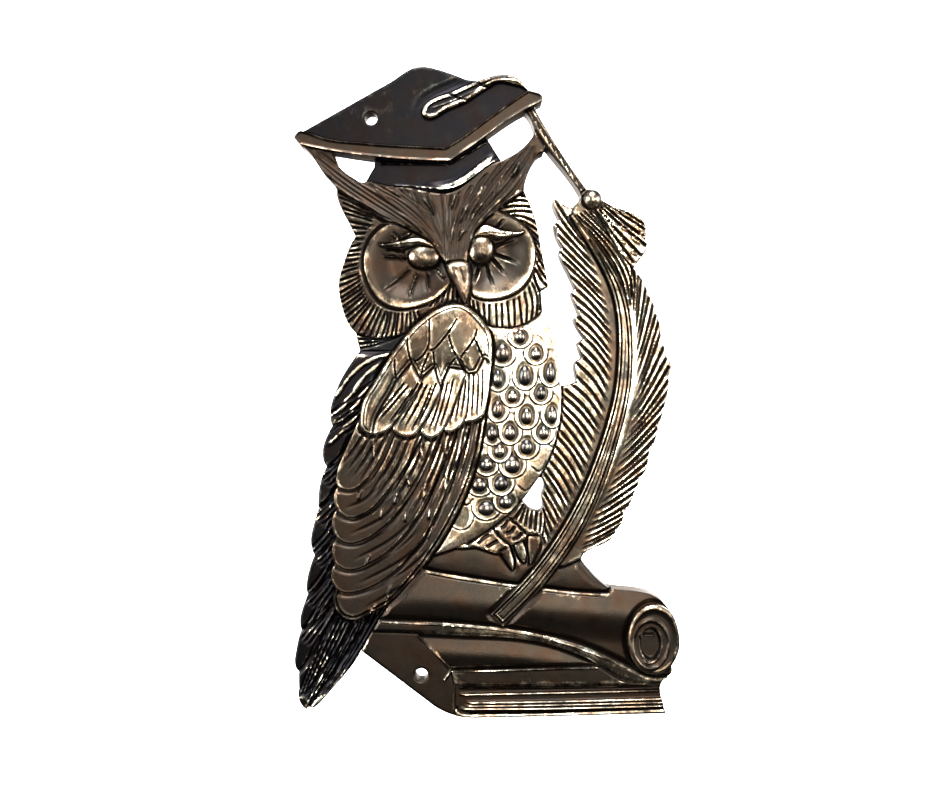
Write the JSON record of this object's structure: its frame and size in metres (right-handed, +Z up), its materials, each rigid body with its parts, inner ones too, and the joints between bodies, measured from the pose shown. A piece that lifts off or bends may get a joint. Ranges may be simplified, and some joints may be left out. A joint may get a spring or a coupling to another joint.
{
  "type": "owl wall plaque",
  "caption": "Flat-backed cast relief plaque of an owl in a scholar's cap with a quill, a scroll and a book, with two screw holes for hanging it on a wall.",
  "frame": {"origin": "centre of the plaque's outline, on its flat back face", "axes": "+Z up along the plaque's height, -Y out of the relief towards the viewer, +Y into the wall, +X to the viewer's right"},
  "size_m": [0.1178, 0.0115, 0.2],
  "materials": {
    "antique_bronze": "cast, dark patina rubbed back to bronze on the high places, satin lacquer",
    "burnished_bronze": "cast, patina mostly rubbed back, satin lacquer",
    "dark_patina_bronze": "cast, blue-black patina left on, satin lacquer",
    "polished_dark_bronze": "cast, dark patina, polished",
    "raw_cast_back": "as cast, grey"
  },
  "bodies": {
    "root": {"back_feather_1": "dark_patina_bronze", "back_feather_2": "dark_patina_bronze", "back_feather_3": "dark_patina_bronze", "back_feather_4": "dark_patina_bronze", "back_feather_5": "dark_patina_bronze", "back_feather_6": "dark_patina_bronze", "back_feather_7": "dark_patina_bronze", "back_plate": "raw_cast_back", "beak": "antique_bronze", "book_corner": "antique_bronze", "book_cover": "antique_bronze", "book_cover_lip": "antique_bronze", "book_lower_cover": "antique_bronze", "book_pages": "antique_bronze", "breast": "burnished_bronze", "breast_bosses": "polished_dark_bronze", "brow_left": "antique_bronze", "brow_right": "antique_bronze", "cap_board": "dark_patina_bronze", "cap_cord_loop": "dark_patina_bronze", "cap_crown": "dark_patina_bronze", "cap_edge": "burnished_bronze", "cheek_feathers_right": "burnished_bronze", "claws": "antique_bronze", "eye_left": "polished_dark_bronze", "eye_right": "polished_dark_bronze", "eyelids": "antique_bronze", "face_disc_left": "antique_bronze", "face_disc_right": "burnished_bronze", "ground": "antique_bronze", "leg": "antique_bronze", "neck_feathers": "dark_patina_bronze", "quill_shaft": "burnished_bronze", "quill_vane_inner": "burnished_bronze", "quill_vane_outer": "burnished_bronze", "ruff_left": "antique_bronze", "ruff_right": "burnished_bronze", "scroll_edge": "antique_bronze", "scroll_roll": "antique_bronze", "scroll_sheet": "antique_bronze", "tail_feather_1": "dark_patina_bronze", "tail_feather_2": "dark_patina_bronze", "tail_feather_3": "dark_patina_bronze", "tassel_bead": "polished_dark_bronze", "tassel_cord": "antique_bronze", "tassel_fringe": "antique_bronze", "toes": "antique_bronze", "wing_covert_1": "burnished_bronze", "wing_covert_2": "burnished_bronze", "wing_covert_3": "burnished_bronze", "wing_covert_4": "burnished_bronze", "wing_covert_5": "burnished_bronze", "wing_primary_1": "antique_bronze", "wing_primary_2": "antique_bronze", "wing_primary_3": "antique_bronze", "wing_primary_4": "antique_bronze", "wing_primary_5": "antique_bronze", "wing_primary_6": "antique_bronze", "wing_shoulder": "burnished_bronze"}
  },
  "joints": []
}
